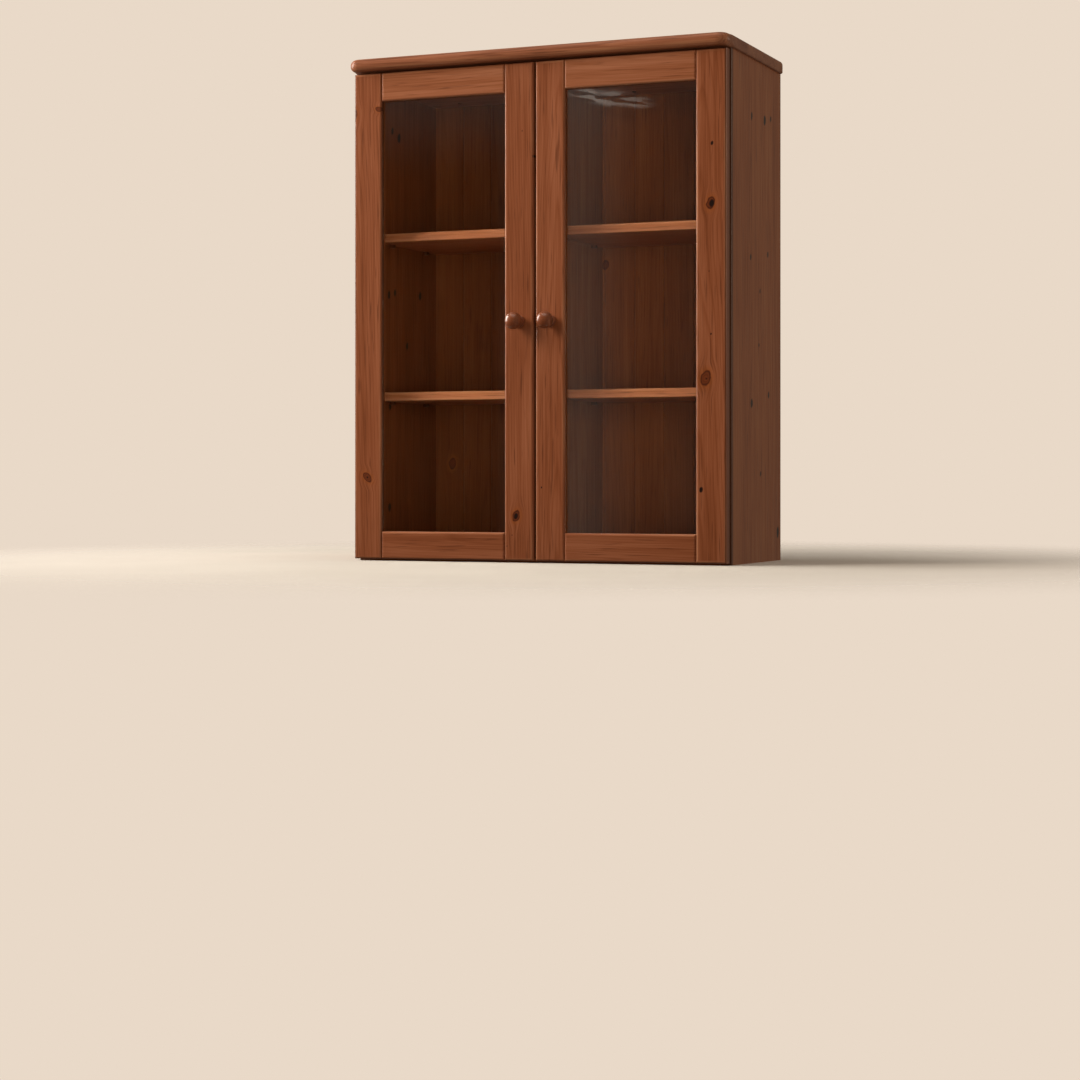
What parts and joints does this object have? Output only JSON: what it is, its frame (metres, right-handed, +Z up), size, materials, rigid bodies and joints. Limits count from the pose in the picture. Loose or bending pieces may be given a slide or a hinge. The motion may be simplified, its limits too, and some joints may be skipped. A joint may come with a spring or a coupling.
{
  "type": "glass door wall cabinet",
  "caption": "Stained pine display cabinet with framed glass doors, turned knobs, a rounded crown board and inner shelves, for fixing to a wall or standing on a base unit.",
  "frame": {"origin": "middle of the carcass base, on the plane it stands on", "axes": "+X to the viewer's right, +Y from the doors towards the wall, +Z up"},
  "size_m": [0.816, 0.3992, 1.024],
  "materials": {
    "stained_pine": "satin lacquer",
    "lacquered_knob": "gloss lacquer",
    "beech": "bare",
    "clear_glass": "polished",
    "zinc_steel": "bright zinc",
    "browned_steel": "brown lacquer",
    "nickel_plate": "satin nickel",
    "brown_plastic": "moulded",
    "clear_rubber": "matt"
  },
  "bodies": {
    "carcass": {"back_board_1": "stained_pine", "back_board_2": "stained_pine", "back_board_3": "stained_pine", "back_board_4": "stained_pine", "back_board_5": "stained_pine", "back_board_6": "stained_pine", "back_board_7": "stained_pine", "back_board_nails": "zinc_steel", "bottom_board": "stained_pine", "catch_magnets": "zinc_steel", "centre_divider": "stained_pine", "crown_board": "stained_pine", "crown_screws": "browned_steel", "dowels": "beech", "fitting_screws": "zinc_steel", "inner_top": "stained_pine", "left_catch": "brown_plastic", "left_lower_hinge_arm": "zinc_steel", "left_lower_shelf": "stained_pine", "left_side": "stained_pine", "left_upper_hinge_arm": "zinc_steel", "left_upper_shelf": "stained_pine", "left_wall_bracket": "browned_steel", "right_catch": "brown_plastic", "right_lower_hinge_arm": "zinc_steel", "right_lower_shelf": "stained_pine", "right_side": "stained_pine", "right_upper_hinge_arm": "zinc_steel", "right_upper_shelf": "stained_pine", "right_wall_bracket": "browned_steel", "shelf_supports": "browned_steel"},
    "left_door": {"left_door_bottom_rail": "stained_pine", "left_door_buffers": "clear_rubber", "left_door_glass": "clear_glass", "left_door_glazing_beads": "stained_pine", "left_door_hinge_pins": "zinc_steel", "left_door_hinge_stile": "stained_pine", "left_door_knob": "lacquered_knob", "left_door_knob_screw": "zinc_steel", "left_door_lower_hinge_cup": "nickel_plate", "left_door_meeting_stile": "stained_pine", "left_door_screws": "zinc_steel", "left_door_strike_plate": "zinc_steel", "left_door_top_rail": "stained_pine", "left_door_upper_hinge_cup": "nickel_plate"},
    "right_door": {"right_door_bottom_rail": "stained_pine", "right_door_buffers": "clear_rubber", "right_door_glass": "clear_glass", "right_door_glazing_beads": "stained_pine", "right_door_hinge_pins": "zinc_steel", "right_door_hinge_stile": "stained_pine", "right_door_knob": "lacquered_knob", "right_door_knob_screw": "zinc_steel", "right_door_lower_hinge_cup": "nickel_plate", "right_door_meeting_stile": "stained_pine", "right_door_screws": "zinc_steel", "right_door_strike_plate": "zinc_steel", "right_door_top_rail": "stained_pine", "right_door_upper_hinge_cup": "nickel_plate"}
  },
  "joints": [
    {"name": "left_door_hinge", "type": "hinge", "parent": "carcass", "child": "left_door", "pos_m": [-0.3905, -0.178, 0.5], "axis": [0, 0, -1], "range_deg": [0, 95]},
    {"name": "right_door_hinge", "type": "hinge", "parent": "carcass", "child": "right_door", "pos_m": [0.3905, -0.178, 0.5], "axis": [0, 0, 1], "range_deg": [0, 95]}
  ]
}
